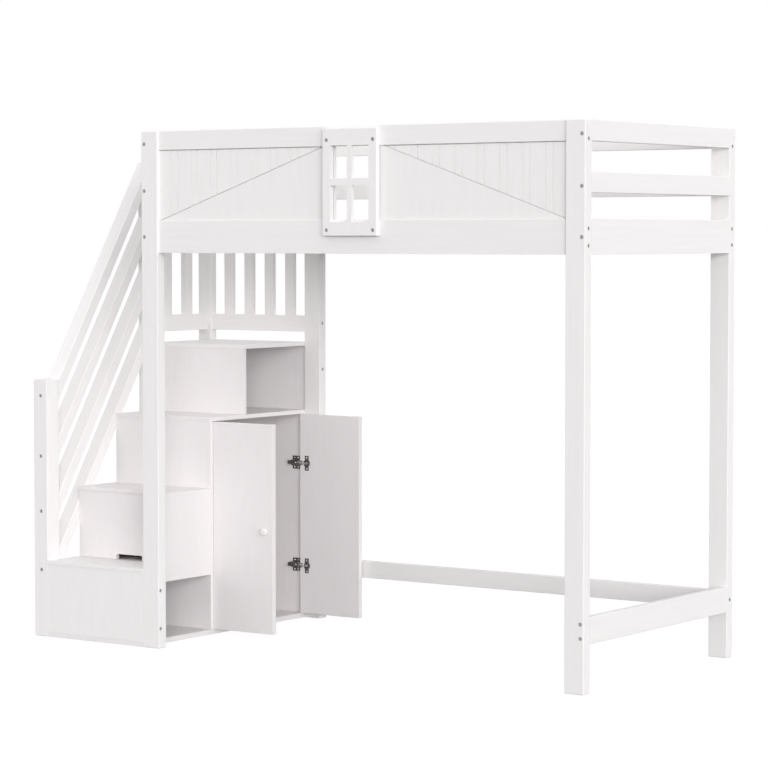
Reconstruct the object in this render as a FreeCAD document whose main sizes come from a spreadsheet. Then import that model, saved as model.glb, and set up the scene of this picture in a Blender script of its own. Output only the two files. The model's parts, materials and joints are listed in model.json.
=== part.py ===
import FreeCAD, Part
import math
import os
import re

os.makedirs("parts", exist_ok=True)
doc = FreeCAD.newDocument("loft_bed")
sheet = doc.addObject("Spreadsheet::Sheet", "Sizes")

# Driving sizes in millimetres, one list for each group of pieces
DRIVING = {
    # Bed frame
    "bed_length": 1990,
    "bed_width": 1091,
    "bed_height": 1996,
    "post_width": 79,
    "post_depth": 44,
    "post_round": 3,
    "rail_thickness": 28,
    "rail_recess": 10,
    "rail_round": 2.5,
    "top_rail_height": 73,
    "middle_rail_gap": 106,
    "middle_rail_height": 72,
    "infill_height": 269,
    "side_rail_height": 124,
    "side_rail_foot_round": 0.6,
    "end_stretcher_level": 174,
    "end_stretcher_height": 96,
    "back_stretcher_level": 186,
    "back_stretcher_height": 70,
    "entry_post_setback": 556,
    "entry_post_width": 44,
    # Mattress base
    "ledger_height": 30,
    "ledger_thickness": 24,
    "ledger_rise": 2,
    "slat_count": 13,
    "slat_width": 70,
    "slat_thickness": 18,
    "slat_end_gap": 3,
    # Front infill
    "panel_setback": 5,
    "panel_thickness": 14,
    "panel_round": 1.2,
    "panel_slit": 2.2,
    "panel_slit_depth": 8,
    "gusset_step": 0.4,
    "roof_start": 1,
    "roof_head_gap": 15,
    "roof_gap": 4.2,
    "groove_pairs": 8,
    "groove_start": 175,
    "groove_pitch": 95,
    "groove_pair_gap": 29.5,
    "groove_width": 4.5,
    "groove_depth": 3,
    # Window frame
    "window_width": 244,
    "window_height": 392,
    "window_drop": 9,
    "window_thickness": 20,
    "window_stile": 36,
    "window_top_bar": 62,
    "window_bottom_bar": 51,
    "window_muntin": 21,
    "window_cross": 26,
    "window_cross_rise": 133,
    "window_muntin_depth": 13,
    "window_round": 2.5,
    "window_bolt_drop": 42,
    "window_bolt_rise": 21,
    # Newel, hand rail and guard
    "stair_width": 494,
    "newel_width": 70,
    "newel_depth": 72,
    "newel_height": 1026,
    "guard_stock": 60,
    "upper_newel_setback": 636,
    "upper_newel_depth": 44,
    "corner_post_width": 67,
    "corner_post_depth": 40,
    "guard_drop": 99,
    "guard_back_gap": 10,
    "handrail_count": 4,
    "handrail_width": 45,
    "handrail_pitch": 121.5,
    "handrail_drop": 4,
    "guard_rail_height": 68,
    "guard_rail_thickness": 28,
    "guard_rail_recess": 18,
    "guard_gap": 42,
    "guard_slat_width": 45,
    "side_slat_thickness": 28,
    "back_slat_thickness": 22,
    "back_slat_recess": 2,
    "side_slat_count": 2,
    "back_slat_count": 4,
    # Stair unit
    "board_thickness": 16,
    "board_round": 1,
    "base_thickness": 20,
    "front_board_thickness": 22,
    "first_rise": 305,
    "step_count": 3,
    "landing_drop": 376,
    "second_step_setback": 191,
    "third_step_setback": 420,
    "landing_setback": 640,
    "apron_height": 48,
    "tread_nosing": 2,
    "landing_riser_thickness": 22,
    "landing_riser_setback": 6,
    # Drawer
    "drawer_gap": 0.5,
    "drawer_wall": 12,
    "drawer_floor": 6,
    "drawer_back_gap": 6,
    "drawer_head_gap": 20,
    "notch_width": 134,
    "notch_height": 21,
    "notch_shift": 23,
    "notch_round": 6,
    "runner_height": 30,
    "runner_width": 20,
    "runner_gap": 0.3,
    "drawer_side_gap": 3,
    # Cabinet doors
    "door_thickness": 22,
    "door_proud": 2,
    "door_gap": 2.3,
    "door_meeting_gap": 2.5,
    "door_foot_gap": 0.6,
    "door_head_gap": 2,
    "knob_round": 5,
    "knob_diameter": 28,
    "knob_thickness": 13,
    "knob_neck_diameter": 13,
    "knob_neck": 9,
    "knob_stud_diameter": 4,
    "knob_stud_gap": 0.3,
    "knob_inset": 32.5,
    "knob_rise": 407,
    # Hinges
    "hinge_foot_inset": 199.4,
    "hinge_head_inset": 204,
    "pivot_inset": 3.5,
    "pin_diameter": 2.8,
    "pin_gap": 0.05,
    "pin_bite": 8,
    "eye_diameter": 5,
    "link_height": 16,
    "link_thickness": 2.6,
    "hinge_notch_width": 13,
    "hinge_notch_height": 20,
    "hinge_notch_skin": 0.6,
    "arm_start": 21,
    "arm_length": 58,
    "arm_height": 22,
    "arm_tip_height": 16,
    "arm_tip_length": 17,
    "arm_depth": 14,
    "arm_foot_height": 55,
    "arm_foot_length": 39,
    "arm_foot_thickness": 3,
    "arm_round": 2,
    "plate_inset": 25.5,
    "plate_width": 20,
    "plate_height": 62,
    "plate_thickness": 2,
    "plate_round": 0.8,
    "flange_diameter": 31,
    "cup_diameter": 24,
    "cup_depth": 11,
    "cup_gap": 0.2,
    # Fasteners
    "bolt_head": 14,
    "bolt_head_height": 4,
    "bolt_sink": 0.8,
    "bolt_socket": 5.8,
    "bolt_socket_depth": 2.6,
    "bolt_round": 0.8,
    "bolt_shank": 6,
    "bolt_gap": 0.4,
    "bolt_end_room": 4,
    "nut_diameter": 10,
    "nut_length": 16,
    "nut_reach": 30,
    "nut_tail": 8,
    "nut_gap": 0.2,
    "board_bite": 30,
    "panel_bite": 12,
    "window_bite": 20,
    "cut_overrun": 1,
    # Bolt levels, as rises above the pieces that they hold
    "long_top_bolt_rise": 7.5,
    "end_top_bolt_rise": 24,
    "end_middle_bolt_rise": 22,
    "end_side_bolt_rise": 61,
    "side_bolt_high_rise": 91,
    "side_bolt_low_rise": 31,
    "end_stretcher_bolt_high_rise": 73,
    "end_stretcher_bolt_low_rise": 23,
    "back_stretcher_bolt_rise": 35,
    "front_board_bolt_high": 225,
    "front_board_bolt_low": 77,
    "guard_bolt_low_rise": 36,
    "guard_bolt_high_rise": 34,
    "landing_bolt_rise": 170,
    "newel_bolt_first_drop": 65,
    "newel_bolt_second_drop": 306,
    "newel_bolt_third_drop": 526,
    "newel_bolt_fourth_drop": 760,
    "newel_bolt_length": 52,
    "handrail_head_bolt": 20,
    "handrail_bolt_inset": 33,
    "handrail_head_inset": 14,
    "unit_bolt_low_rise": 130,
    "unit_bolt_high_drop": 111,
}

# Places worked out from the driving sizes
PLACES = {
    "stair_reach": "stair_width + newel_width",
    "window_proud": "window_thickness - rail_recess",
    "bed_left": "(stair_reach - bed_length) / 2",
    "bed_right": "bed_left + bed_length",
    "front": "(window_proud - bed_width) / 2",
    "back": "front + bed_width",
    "left_inner": "bed_left + post_width",
    "right_inner": "bed_right - post_width",
    "front_inner": "front + post_depth",
    "back_inner": "back - post_depth",
    "front_rail_face": "front + rail_recess",
    "front_rail_inner": "front_rail_face + rail_thickness",
    "front_rail_middle": "front_rail_face + rail_thickness / 2",
    "back_rail_middle": "back - post_depth / 2",
    "back_rail_inner": "back_rail_middle - rail_thickness / 2",
    "back_rail_face": "back_rail_middle + rail_thickness / 2",
    "right_rail_inner": "bed_right - rail_thickness",
    "right_rail_middle": "bed_right - rail_thickness / 2",
    "left_rail_inner": "bed_left + rail_thickness",
    "left_rail_middle": "bed_left + rail_thickness / 2",
    "top_rail_level": "bed_height - top_rail_height",
    "middle_rail_top": "top_rail_level - middle_rail_gap",
    "middle_rail_level": "middle_rail_top - middle_rail_height",
    "side_rail_top": "top_rail_level - infill_height",
    "side_rail_level": "side_rail_top - side_rail_height",
    "ledger_level": "side_rail_level + ledger_rise",
    "entry_post_front": "front + entry_post_setback",
    "entry_post_back": "entry_post_front + entry_post_width",
    "slat_level": "ledger_level + ledger_height",
    "slat_pitch": "(right_inner - left_inner - slat_width) / (slat_count - 1)",
    "bead_face": "front_rail_face + panel_setback",
    "gusset_face": "bead_face + gusset_step",
    "roof_left": "left_inner + roof_start",
    "roof_right": "right_inner - roof_start",
    "roof_left_head": "window_left - roof_head_gap",
    "roof_right_head": "window_right + roof_head_gap",
    "window_middle": "bed_left + bed_length / 2",
    "window_left": "window_middle - window_width / 2",
    "window_right": "window_middle + window_width / 2",
    "window_face": "front_rail_face - window_thickness",
    "window_top": "bed_height - window_drop",
    "window_level": "window_top - window_height",
    "pane_left": "window_left + window_stile",
    "pane_right": "window_right - window_stile",
    "pane_foot": "window_level + window_bottom_bar",
    "pane_head": "window_top - window_top_bar",
    "pane_width": "(pane_right - pane_left - window_muntin) / 2",
    "cross_foot": "pane_foot + window_cross_rise",
    "cross_head": "cross_foot + window_cross",
    "window_bolt_inset": "window_stile / 2",
    "unit_left": "bed_left - stair_width",
    "unit_left_inner": "unit_left + board_thickness",
    "newel_left": "unit_left - newel_width",
    "guard_left": "unit_left - guard_stock",
    "guard_height": "bed_height - guard_drop",
    "guard_back": "back - guard_back_gap",
    "guard_rail_inner": "unit_left - guard_rail_recess",
    "guard_rail_middle": "(guard_left + guard_rail_inner) / 2",
    "corner_post_left": "unit_left - corner_post_width",
    "corner_post_front": "guard_back - corner_post_depth",
    "newel_back": "front + newel_depth",
    "upper_newel_front": "front + upper_newel_setback",
    "upper_newel_back": "upper_newel_front + upper_newel_depth",
    "handrail_run": "upper_newel_front - newel_back",
    "handrail_rise": "guard_height - newel_height + handrail_drop",
    "handrail_stretch": "sqrt(handrail_run ^ 2 + handrail_rise ^ 2) / handrail_run",
    "handrail_tall": "handrail_width * handrail_stretch",
    "handrail_step": "handrail_pitch * handrail_stretch",
    "handrail_foot": "newel_height - handrail_drop - handrail_tall",
    "back_guard_front": "guard_back - guard_rail_thickness",
    "back_guard_middle": "guard_back - guard_rail_thickness / 2",
    "guard_level": "landing + guard_gap",
    "guard_low_top": "guard_level + guard_rail_height",
    "guard_top_level": "guard_height - guard_rail_height",
    "side_slat_gap": "(corner_post_front - upper_newel_back - side_slat_count * guard_slat_width)"
                     " / (side_slat_count + 1)",
    "back_slat_gap": "(stair_width - back_slat_count * guard_slat_width) / (back_slat_count + 1)",
    "landing": "side_rail_level - landing_drop",
    "step_rise": "(landing - first_rise) / step_count",
    "first_tread": "first_rise",
    "second_tread": "first_rise + step_rise",
    "third_tread": "second_tread + step_rise",
    "second_front": "front + second_step_setback",
    "third_front": "front + third_step_setback",
    "wall_back": "third_front + board_thickness",
    "landing_front": "front + landing_setback",
    "rear_wall_back": "back_inner + board_thickness",
    "landing_back": "back - post_depth / 2 + board_thickness / 2",
    "cheek_inner": "bed_left - board_thickness",
    "drawer_left": "unit_left + drawer_gap",
    "drawer_right": "cheek_inner - drawer_gap",
    "drawer_middle": "(drawer_left + drawer_right) / 2",
    "notch_middle": "drawer_middle + notch_shift",
    "drawer_foot": "first_tread + drawer_gap",
    "drawer_head": "second_tread - board_thickness - drawer_gap",
    "drawer_inner": "second_front + board_thickness",
    "drawer_end": "third_front - drawer_back_gap",
    "drawer_box_left": "unit_left_inner + drawer_side_gap",
    "drawer_box_right": "cheek_inner - drawer_side_gap",
    "drawer_box_foot": "first_tread + runner_height + runner_gap",
    "drawer_box_head": "second_tread - board_thickness - drawer_head_gap",
    "door_width": "(back_inner - wall_back - 2 * door_gap - door_meeting_gap) / 2",
    "door_foot": "base_thickness + door_foot_gap",
    "door_head": "third_tread - board_thickness - door_head_gap",
    "hinge_low": "door_foot + hinge_foot_inset",
    "hinge_high": "door_head - hinge_head_inset",
    "knob_level": "door_foot + knob_rise",
    "pivot_left": "bed_left + door_proud - pivot_inset",
    "front_pivot": "wall_back + door_gap + pivot_inset",
    "back_pivot": "back_inner - door_gap - pivot_inset",
    "door_left": "pivot_left - pivot_inset",
    "door_free_edge": "door_left + door_width",
    "front_door_outer": "front_pivot - pivot_inset",
    "front_door_inner": "front_door_outer + door_thickness",
    "back_door_outer": "back_pivot + pivot_inset",
    "back_door_inner": "back_door_outer - door_thickness",
    "knob_place": "door_free_edge - knob_inset",
    "pivot_stand": "door_gap + pivot_inset",
    "bore_radius": "bolt_shank / 2 + bolt_gap",
    "sink_radius": "bolt_head / 2 + bolt_gap",
    "sink_depth": "bolt_sink + bolt_head_height",
    "nut_bite": "nut_reach + nut_tail",
    "long_top_bolt": "top_rail_level + long_top_bolt_rise",
    "end_top_bolt": "top_rail_level + end_top_bolt_rise",
    "end_middle_bolt": "middle_rail_level + end_middle_bolt_rise",
    "end_side_bolt": "side_rail_level + end_side_bolt_rise",
    "side_bolt_high": "side_rail_level + side_bolt_high_rise",
    "side_bolt_low": "side_rail_level + side_bolt_low_rise",
    "end_stretcher_bolt_high": "end_stretcher_level + end_stretcher_bolt_high_rise",
    "end_stretcher_bolt_low": "end_stretcher_level + end_stretcher_bolt_low_rise",
    "back_stretcher_bolt": "back_stretcher_level + back_stretcher_bolt_rise",
    "guard_bolt_low": "guard_level + guard_bolt_low_rise",
    "guard_bolt_high": "guard_top_level + guard_bolt_high_rise",
    "landing_bolt": "third_tread + landing_bolt_rise",
    "unit_bolt_low": "base_thickness + unit_bolt_low_rise",
    "unit_bolt_high": "third_tread - unit_bolt_high_drop",
}

for row, (alias, number) in enumerate(DRIVING.items(), 1):
    sheet.set(f"A{row}", alias)
    sheet.set(f"B{row}", str(number))
    sheet.setAlias(f"B{row}", alias)
doc.recompute()

AXES = "xyz"
SIDES = ("Length", "Width", "Height")
UP = FreeCAD.Vector(0, 0, 1)
HEADINGS = {
    "+x": FreeCAD.Vector(1, 0, 0),
    "-x": FreeCAD.Vector(-1, 0, 0),
    "+y": FreeCAD.Vector(0, 1, 0),
    "-y": FreeCAD.Vector(0, -1, 0),
    "+z": FreeCAD.Vector(0, 0, 1),
}
pieces = {}
cutters = {}
bolts = []
nuts = []


def formula(text):
    """Spell out the places in a sum and lead each driving size by the name of its sheet."""
    def spell(match):
        word = match.group()
        if word in PLACES:
            return "(" + formula(PLACES[word]) + ")"
        if word in DRIVING:
            return "Sizes." + word
        return word
    return re.sub(r"[a-z][a-z_]*", spell, text)


def value(text):
    """The number that a sum comes to with the sizes on the sheet."""
    return float(sheet.evalExpression(formula(text)))


def put(solid, start):
    """Bind the place of a solid to three sums."""
    for axis, text in zip(AXES, start):
        solid.setExpression(f"Placement.Base.{axis}", formula(text))


def block(name, *spans):
    """A square-edged block, from its low and high side along X, Y and Z."""
    solid = doc.addObject("Part::Box", name)
    for side, (low, high) in zip(SIDES, spans):
        solid.setExpression(side, formula(f"({high}) - ({low})"))
    put(solid, [low for low, high in spans])
    solid.recompute()
    return solid


def eased(solid, radius, along, foot=None):
    """Round the edges that run along the named axes; the lowest can have a radius of their own."""
    easing = doc.addObject("Part::Fillet", solid.Name + "_eased")
    easing.Base = solid
    size = value(radius)
    foot_size = value(foot or radius)
    lowest = solid.Shape.BoundBox.ZMin + size
    chosen = []
    for number, edge in enumerate(solid.Shape.Edges, 1):
        run = edge.Vertexes[-1].Point - edge.Vertexes[0].Point
        lengths = dict(zip(AXES, (abs(run.x), abs(run.y), abs(run.z))))
        if max(lengths[axis] for axis in along) > size:
            at_foot = max(vertex.Point.z for vertex in edge.Vertexes) < lowest
            rounding = foot_size if at_foot else size
            chosen.append((number, rounding, rounding))
    easing.Edges = chosen
    easing.recompute()
    return easing


def timber(name, *spans, along="xyz", radius="rail_round", foot=None):
    """One length of timber or one board, kept under its own name."""
    pieces[name] = eased(block(name + "_blank", *spans), radius, along, foot)
    return pieces[name]


def several(name, solids):
    """Like pieces that share one name."""
    pieces[name] = doc.addObject("Part::Compound", name + "_set")
    pieces[name].Links = solids


def round_hole(name, start, heading, radius, depth):
    """A round cutter that begins just outside the face it enters."""
    hole = doc.addObject("Part::Cylinder", name)
    hole.Placement = FreeCAD.Placement(FreeCAD.Vector(), FreeCAD.Rotation(UP, HEADINGS[heading]))
    hole.setExpression("Radius", formula(radius))
    hole.setExpression("Height", formula(f"({depth}) + cut_overrun"))
    sign, axis = heading
    back_off = {"+": "-", "-": "+"}[sign]
    begin = list(start)
    begin[AXES.index(axis)] += f" {back_off} cut_overrun"
    put(hole, begin)
    return hole


def cut_from(name, *solids):
    """Note the cutters that are taken out of a piece."""
    cutters.setdefault(name, []).extend(solids)


def along_heading(start, heading, distance):
    """A place reached from a start by going a distance along a heading."""
    sign, axis = heading
    end = list(start)
    end[AXES.index(axis)] += f" {sign} ({distance})"
    return end


def bolt(start, heading, grip, bite, outer, inner=None):
    """A sunk socket bolt through one piece and into the next, if any, with the holes that it needs."""
    number = len(bolts)
    bore = round_hole(f"bore_{number}", start, heading, "bore_radius", f"{grip} + {bite} + bolt_end_room")
    sink = round_hole(f"sink_{number}", start, heading, "sink_radius", "sink_depth")
    cut_from(outer, bore, sink)
    if inner:
        cut_from(inner, bore)
    bolts.append((start, heading, f"{grip} + {bite}"))


def rail_bolt(start, heading, grip, outer, rail, nut_heading):
    """A bolt into the end of a rail, met by a barrel nut let in from the rail's inner face."""
    bolt(start, heading, grip, "nut_bite", outer, rail)
    middle = along_heading(start, heading, f"{grip} + nut_reach")
    turned = {"+": "-", "-": "+"}[nut_heading[0]] + nut_heading[1]
    mouth = along_heading(middle, turned, "rail_thickness / 2")
    radius = "nut_diameter / 2 + nut_gap"
    pocket = round_hole(f"nut_pocket_{len(nuts)}", mouth, nut_heading, radius,
                        "rail_thickness / 2 + nut_length / 2")
    cut_from(rail, pocket)
    nuts.append((middle, nut_heading, heading))


# Corner posts
FLOOR = ("0", "bed_height")
LEFT_POST = ("bed_left", "left_inner")
RIGHT_POST = ("right_inner", "bed_right")
FRONT_POST = ("front", "front_inner")
BACK_POST = ("back_inner", "back")
timber("front_left_post", LEFT_POST, FRONT_POST, FLOOR, radius="post_round")
timber("front_right_post", RIGHT_POST, FRONT_POST, FLOOR, radius="post_round")
timber("back_left_post", LEFT_POST, BACK_POST, FLOOR, radius="post_round")
timber("back_right_post", RIGHT_POST, BACK_POST, FLOOR, radius="post_round")

# Rails and stretchers
TOP = ("top_rail_level", "bed_height")
MIDDLE = ("middle_rail_level", "middle_rail_top")
SIDE = ("side_rail_level", "side_rail_top")
LONG = ("left_inner", "right_inner")
END = ("front_inner", "back_inner")
SHORT = ("front_inner", "entry_post_front")
FRONT_RAIL = ("front_rail_face", "front_rail_inner")
BACK_RAIL = ("back_rail_inner", "back_rail_face")
RIGHT_RAIL = ("right_rail_inner", "bed_right")
LEFT_RAIL = ("bed_left", "left_rail_inner")
END_FLOOR = ("end_stretcher_level", "end_stretcher_level + end_stretcher_height")
BACK_FLOOR = ("back_stretcher_level", "back_stretcher_level + back_stretcher_height")
timber("front_top_rail", LONG, FRONT_RAIL, TOP, along="x")
timber("front_side_rail", LONG, FRONT_RAIL, SIDE, along="x", foot="side_rail_foot_round")
timber("back_top_rail", LONG, BACK_RAIL, TOP, along="x")
timber("back_middle_rail", LONG, BACK_RAIL, MIDDLE, along="x")
timber("back_side_rail", LONG, BACK_RAIL, SIDE, along="x", foot="side_rail_foot_round")
timber("back_floor_stretcher", LONG, BACK_RAIL, BACK_FLOOR, along="x")
timber("right_top_rail", RIGHT_RAIL, END, TOP, along="y")
timber("right_middle_rail", RIGHT_RAIL, END, MIDDLE, along="y")
timber("right_side_rail", RIGHT_RAIL, END, SIDE, along="y", foot="side_rail_foot_round")
timber("right_floor_stretcher", RIGHT_RAIL, END, END_FLOOR, along="y")
timber("left_top_rail", LEFT_RAIL, SHORT, TOP, along="y")
timber("left_middle_rail", LEFT_RAIL, SHORT, MIDDLE, along="y")
timber("left_side_rail", LEFT_RAIL, END, SIDE, along="y", foot="side_rail_foot_round")
timber("entry_post", LEFT_RAIL, ("entry_post_front", "entry_post_back"), ("side_rail_top", "bed_height"),
       along="z")

# Ledgers and slats under the mattress
ledgers = []
for name, low, high in (("front_ledger", "front_rail_inner", "front_rail_inner + ledger_thickness"),
                        ("back_ledger", "back_rail_inner - ledger_thickness", "back_rail_inner")):
    blank = block(name, LONG, (low, high), ("ledger_level", "slat_level"))
    ledgers.append(eased(blank, "rail_round", "x"))
several("slat_ledgers", ledgers)
slats = []
for number in range(int(value("slat_count"))):
    low = f"left_inner + {number} * slat_pitch"
    blank = block(f"bed_slat_{number}", (low, low + " + slat_width"),
                  ("front_rail_inner + slat_end_gap", "back_rail_inner - slat_end_gap"),
                  ("slat_level", "slat_level + slat_thickness"))
    slats.append(eased(blank, "rail_round", "y"))
several("bed_slats", slats)

# Panels of the front infill: grooved above the roof line, smooth below it, with a thin gap between
INFILL = ("side_rail_top", "top_rail_level")


def roof_panel(name, foot, head, face):
    """An upright board with one sloping edge, from its spans along X at the foot and at the head."""
    panel = doc.addObject("Part::Wedge", name + "_blank")
    panel.Placement = FreeCAD.Placement(FreeCAD.Vector(), FreeCAD.Rotation(HEADINGS["+y"], HEADINGS["+z"]))
    for side, text in (("Xmin", foot[0]), ("Xmax", foot[1]), ("X2min", head[0]), ("X2max", head[1]),
                       ("Ymin", "0"), ("Ymax", "top_rail_level - side_rail_top"),
                       ("Zmin", "0"), ("Zmax", "panel_thickness"),
                       ("Z2min", "0"), ("Z2max", "panel_thickness")):
        panel.setExpression(side, formula(text))
    put(panel, ("0", f"{face} + panel_thickness", "side_rail_top"))
    panel.recompute()
    pieces[name] = eased(panel, "panel_round", "x")


roof_panel("left_bead_panel", ("left_inner", "roof_left"), ("left_inner", "roof_left_head"), "bead_face")
roof_panel("right_bead_panel", ("roof_right", "right_inner"), ("roof_right_head", "right_inner"),
           "bead_face")
roof_panel("left_gusset_panel", ("roof_left + roof_gap", "pane_left"),
           ("roof_left_head + roof_gap", "pane_left"), "gusset_face")
roof_panel("right_gusset_panel", ("pane_right", "roof_right - roof_gap"),
           ("pane_right", "roof_right_head - roof_gap"), "gusset_face")
for name, sign, ends in (("left_bead_panel", "-", ("left_inner", "window_left")),
                         ("right_bead_panel", "+", ("window_right", "right_inner"))):
    cut_from(name, block(f"{name}_slit", ends, ("bead_face - cut_overrun", "bead_face + panel_slit_depth"),
                         ("top_rail_level - panel_slit", "top_rail_level + cut_overrun")))
    for pair in range(int(value("groove_pairs"))):
        middle = f"window_middle {sign} (groove_start + {pair} * groove_pitch)"
        for half in "-+":
            low = f"{middle} {half} groove_pair_gap / 2 - groove_width / 2"
            cut_from(name, block(f"{name}_groove_{pair}", (low, low + " + groove_width"),
                                 ("bead_face - cut_overrun", "bead_face + groove_depth"),
                                 ("side_rail_top - cut_overrun", "top_rail_level + cut_overrun")))

# Window frame with four open panes
timber("window_frame", ("window_left", "window_right"), ("window_face", "front_rail_face"),
       ("window_level", "window_top"), radius="window_round")
for column in range(2):
    low = f"pane_left + {column} * (pane_width + window_muntin)"
    for foot, head in (("pane_foot", "cross_foot"), ("cross_head", "pane_head")):
        cut_from("window_frame", block(f"pane_{column}_{foot}", (low, low + " + pane_width"),
                                       ("window_face - cut_overrun", "front_rail_face + cut_overrun"),
                                       (foot, head)))
cut_from("window_frame", block("muntin_rebate", ("pane_left", "pane_right"),
                               ("window_face + window_muntin_depth", "front_rail_face + cut_overrun"),
                               ("pane_foot", "pane_head")))

# Newel, hand rail bars and the posts of the landing guard
timber("newel_post", ("newel_left", "unit_left"), ("front", "newel_back"), ("0", "newel_height"),
       radius="post_round")
timber("upper_newel_post", ("guard_left", "unit_left"), ("upper_newel_front", "upper_newel_back"),
       ("0", "guard_height"), radius="post_round")
timber("guard_corner_post", ("corner_post_left", "unit_left"), ("corner_post_front", "guard_back"),
       ("0", "guard_height"), radius="post_round")
HANDRAILS = [f"handrail_bar_{number}" for number in range(1, 1 + int(value("handrail_count")))]
for number, name in enumerate(HANDRAILS):
    bar = doc.addObject("Part::Wedge", name + "_blank")
    for side, text in (("Xmin", "0"), ("Xmax", "guard_stock"), ("X2min", "0"), ("X2max", "guard_stock"),
                       ("Ymin", "0"), ("Ymax", "handrail_run"), ("Zmin", "0"), ("Zmax", "handrail_tall"),
                       ("Z2min", "handrail_rise"), ("Z2max", "handrail_rise + handrail_tall")):
        bar.setExpression(side, formula(text))
    put(bar, ("guard_left", "newel_back", f"handrail_foot - {number} * handrail_step"))
    bar.recompute()
    pieces[name] = eased(bar, "post_round", "y")

SETS = {
    "handrail_bars": HANDRAILS,
    "bead_panels": ("left_bead_panel", "right_bead_panel"),
    "gusset_panels": ("left_gusset_panel", "right_gusset_panel"),
    "back_guard_rails": ("back_guard_rail_low", "back_guard_rail_high"),
}

# Guard rails and slats beside and behind the landing
side_rails = []
for name, levels in (("low", ("guard_level", "guard_low_top")),
                     ("high", ("guard_top_level", "guard_height"))):
    blank = block(f"side_guard_rail_{name}", ("guard_left", "guard_rail_inner"),
                  ("upper_newel_back", "corner_post_front"), levels)
    side_rails.append(eased(blank, "rail_round", "y"))
    timber(f"back_guard_rail_{name}", ("unit_left", "bed_left"), ("back_guard_front", "guard_back"), levels,
           along="x")
several("side_guard_rails", side_rails)
SLAT_SPAN = ("guard_low_top", "guard_top_level")
guard_slats = []
for number in range(int(value("side_slat_count"))):
    low = f"upper_newel_back + side_slat_gap + {number} * (side_slat_gap + guard_slat_width)"
    blank = block(f"side_guard_slat_{number}",
                  ("guard_rail_middle - side_slat_thickness / 2",
                   "guard_rail_middle + side_slat_thickness / 2"),
                  (low, low + " + guard_slat_width"), SLAT_SPAN)
    guard_slats.append(eased(blank, "rail_round", "z"))
for number in range(int(value("back_slat_count"))):
    low = f"unit_left + back_slat_gap + {number} * (back_slat_gap + guard_slat_width)"
    blank = block(f"back_guard_slat_{number}", (low, low + " + guard_slat_width"),
                  ("back_guard_front + back_slat_recess",
                   "back_guard_front + back_slat_recess + back_slat_thickness"), SLAT_SPAN)
    guard_slats.append(eased(blank, "rail_round", "z"))
several("guard_slats", guard_slats)

# Boards of the stair unit
ACROSS = ("unit_left", "bed_left")
LEFT_BOARD = ("unit_left", "unit_left_inner")
CHEEK = ("cheek_inner", "bed_left")


def stair_board(name, *spans):
    """One flat board of the stair unit."""
    return timber(name, *spans, radius="board_round")


def under(level):
    """The span of a board whose top is at a level."""
    return (f"{level} - board_thickness", level)


stair_board("base_board", ACROSS, ("front", "rear_wall_back"), ("0", "base_thickness"))
stair_board("step_front_board", ACROSS, ("front", "front + front_board_thickness"),
            ("base_thickness", "first_tread - board_thickness"))
stair_board("cubby_left_side", LEFT_BOARD, ("front + front_board_thickness", "third_front"),
            ("base_thickness", "first_tread - board_thickness"))
stair_board("cubby_apron", CHEEK, ("front + front_board_thickness", "third_front"),
            ("first_tread - board_thickness - apron_height", "first_tread - board_thickness"))
stair_board("first_tread", ACROSS, ("front - tread_nosing", "third_front"), under("first_tread"))
cut_from("first_tread", block("cheek_rebate", ("cheek_inner", "bed_left + cut_overrun"),
                              ("front_inner", "third_front + cut_overrun"),
                              ("first_tread - board_thickness - cut_overrun", "first_tread + cut_overrun")))
stair_board("cheek_panel", CHEEK, ("front_inner", "third_front"),
            ("first_tread - board_thickness", "second_tread"))
stair_board("drawer_left_side", LEFT_BOARD, ("drawer_inner + drawer_gap", "third_front"),
            ("first_tread", "second_tread - board_thickness"))
stair_board("second_tread", ("unit_left", "cheek_inner"), ("second_front - tread_nosing", "third_front"),
            under("second_tread"))
stair_board("cabinet_front_wall", ACROSS, ("third_front", "wall_back"),
            ("base_thickness", "third_tread - board_thickness"))
stair_board("cabinet_left_side", LEFT_BOARD, ("wall_back", "back_inner"),
            ("base_thickness", "third_tread - board_thickness"))
stair_board("cabinet_rear_wall", ACROSS, ("back_inner", "rear_wall_back"),
            ("base_thickness", "third_tread - board_thickness"))
stair_board("third_tread", ACROSS, ("third_front - tread_nosing", "landing_back"), under("third_tread"))
stair_board("landing_riser", ("unit_left", "bed_left - landing_riser_setback"),
            ("landing_front", "landing_front + landing_riser_thickness"),
            ("third_tread", "landing - board_thickness"))
stair_board("landing_left_side", LEFT_BOARD,
            ("landing_front + landing_riser_thickness", "landing_back - board_thickness"),
            ("third_tread", "landing - board_thickness"))
stair_board("landing_rear_board", ACROSS, ("landing_back - board_thickness", "landing_back"),
            ("third_tread", "landing - board_thickness"))
stair_board("landing_board", ACROSS, ("landing_front - tread_nosing", "landing_back"), under("landing"))

# Drawer behind the second riser, and the runners that carry it
RUNNER = ("first_tread", "first_tread + runner_height")
runners = []
for name, low, high in (("left", "unit_left_inner", "unit_left_inner + runner_width"),
                        ("right", "cheek_inner - runner_width", "cheek_inner")):
    blank = block(f"drawer_runner_{name}", (low, high), ("drawer_inner + drawer_gap", "third_front"),
                  RUNNER)
    runners.append(eased(blank, "board_round", "y"))
several("drawer_runners", runners)
stair_board("drawer_front", ("drawer_left", "drawer_right"), ("second_front", "drawer_inner"),
            ("drawer_foot", "drawer_head"))
notch = block("finger_notch", ("notch_middle - notch_width / 2", "notch_middle + notch_width / 2"),
              ("second_front - cut_overrun", "drawer_inner + cut_overrun"),
              ("drawer_foot - notch_round", "drawer_foot + notch_height"))
cut_from("drawer_front", eased(notch, "notch_round", "y"))
BOX_TALL = ("drawer_box_foot", "drawer_box_head")
BOX_DEEP = ("drawer_inner", "drawer_end")
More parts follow.
